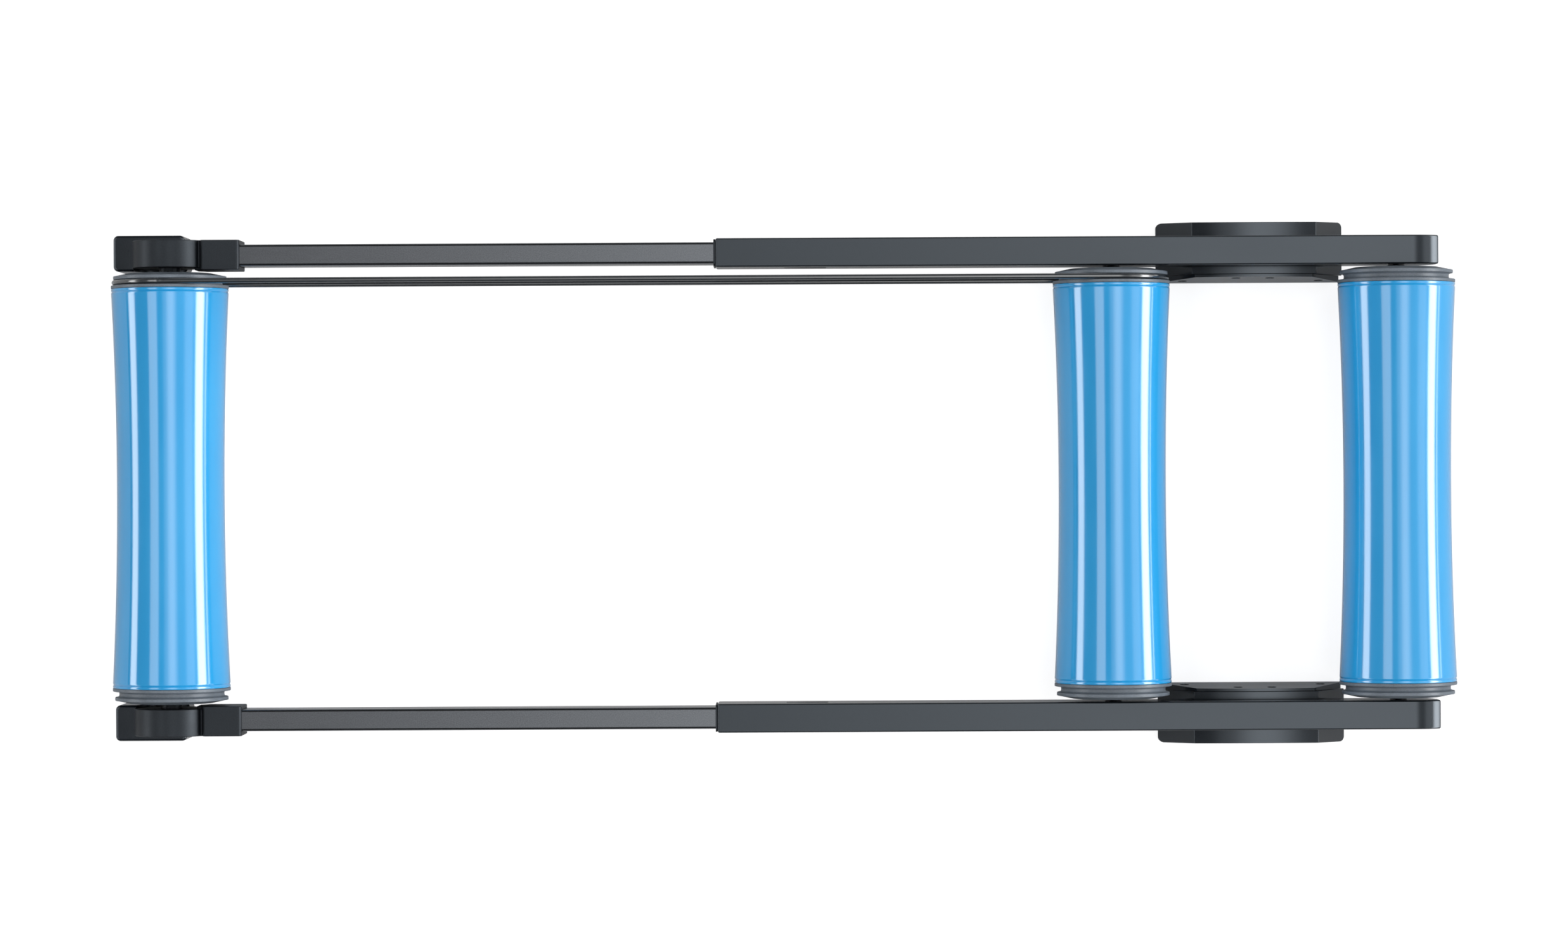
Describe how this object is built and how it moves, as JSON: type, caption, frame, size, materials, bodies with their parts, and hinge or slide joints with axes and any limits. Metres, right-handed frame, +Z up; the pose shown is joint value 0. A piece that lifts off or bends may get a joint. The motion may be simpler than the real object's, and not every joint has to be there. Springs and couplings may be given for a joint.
{
  "type": "bike rollers",
  "caption": "Bike rollers: waisted drums turn in a low frame whose front half slides into wider rear rails; a round belt joins the front drum to the middle one.",
  "frame": {"origin": "on the floor, half-way between the front and the rear axle line, on the centre line", "axes": "+X from the front drum to the rear drums, +Z up, +Y towards the belt side (a rider's right)"},
  "size_m": [1.263, 0.4942, 0.123],
  "materials": {
    "drum_plastic": "gloss",
    "cap_plastic": "satin",
    "rail_composite": "satin",
    "rail_metal": "satin",
    "black_plastic": "satin",
    "foot_plastic": "satin",
    "rubber": "matte",
    "belt_elastomer": "satin",
    "steel": "brushed",
    "dark_steel": "satin"
  },
  "bodies": {
    "rear_frame": {"middle_axle": "steel", "rear_axle": "steel", "drive_belt": "belt_elastomer", "outer_rail_left": "rail_composite", "mouth_bush_left": "black_plastic", "rear_foot_left": "foot_plastic", "rear_foot_cheek_left": "foot_plastic", "rear_sole_left": "rubber", "middle_axle_screw_left": "dark_steel", "middle_axle_spacer_left": "black_plastic", "rear_axle_screw_left": "dark_steel", "rear_axle_spacer_left": "black_plastic", "rear_foot_screw_left_1": "dark_steel", "rear_foot_screw_left_2": "dark_steel", "rear_foot_screw_left_3": "dark_steel", "rear_foot_screw_left_4": "dark_steel", "outer_rail_right": "rail_composite", "mouth_bush_right": "black_plastic", "rear_foot_right": "foot_plastic", "rear_foot_cheek_right": "foot_plastic", "rear_sole_right": "rubber", "middle_axle_screw_right": "dark_steel", "middle_axle_spacer_right": "black_plastic", "rear_axle_screw_right": "dark_steel", "rear_axle_spacer_right": "black_plastic", "rear_foot_screw_right_1": "dark_steel", "rear_foot_screw_right_2": "dark_steel", "rear_foot_screw_right_3": "dark_steel", "rear_foot_screw_right_4": "dark_steel"},
    "front_frame": {"front_axle": "steel", "inner_rail_left": "rail_metal", "rail_shoe_left": "black_plastic", "front_bracket_left": "black_plastic", "front_axle_screw_left": "dark_steel", "front_foot_left": "foot_plastic", "front_sole_left": "rubber", "inner_rail_right": "rail_metal", "rail_shoe_right": "black_plastic", "front_bracket_right": "black_plastic", "front_axle_screw_right": "dark_steel", "front_foot_right": "foot_plastic", "front_sole_right": "rubber"},
    "front_drum": {"front_drum_shell": "drum_plastic", "front_drum_cap_left": "cap_plastic", "front_drum_cap_right": "cap_plastic", "front_drum_bearing_left": "steel", "front_drum_bearing_right": "steel"},
    "middle_drum": {"middle_drum_shell": "drum_plastic", "middle_drum_cap_left": "cap_plastic", "middle_drum_cap_right": "cap_plastic", "middle_drum_bearing_left": "steel", "middle_drum_bearing_right": "steel"},
    "rear_drum": {"rear_drum_shell": "drum_plastic", "rear_drum_cap_left": "cap_plastic", "rear_drum_cap_right": "cap_plastic", "rear_drum_bearing_left": "steel", "rear_drum_bearing_right": "steel"},
    "left_lever": {"lock_lever_left": "black_plastic"},
    "right_lever": {"lock_lever_right": "black_plastic"}
  },
  "joints": [
    {"name": "rail_slide", "type": "slide", "parent": "rear_frame", "child": "front_frame", "axis": [1, 0, 0], "range_m": [-0.087, 0.44], "deforming": ["drive_belt"]},
    {"name": "front_drum_spin", "type": "hinge", "parent": "front_frame", "child": "front_drum", "pos_m": [-0.5765, 0, 0.068], "axis": [0, 1, 0], "continuous": true},
    {"name": "middle_drum_spin", "type": "hinge", "parent": "rear_frame", "child": "middle_drum", "pos_m": [0.3085, 0, 0.068], "axis": [0, 1, 0], "continuous": true},
    {"name": "rear_drum_spin", "type": "hinge", "parent": "rear_frame", "child": "rear_drum", "pos_m": [0.5765, 0, 0.068], "axis": [0, 1, 0], "continuous": true},
    {"name": "left_lever_press", "type": "hinge", "parent": "rear_frame", "child": "left_lever", "pos_m": [0.021, -0.2056, 0.068], "axis": [0, 0, 1], "range_deg": [0, 5], "stiffness_Nm_per_rad": 0.4},
    {"name": "right_lever_press", "type": "hinge", "parent": "rear_frame", "child": "right_lever", "pos_m": [0.021, 0.2056, 0.068], "axis": [0, 0, -1], "range_deg": [0, 5], "stiffness_Nm_per_rad": 0.4}
  ],
  "couplings": [
    {"joint": "front_drum_spin", "follows": "middle_drum_spin", "ratio": 1}
  ]
}
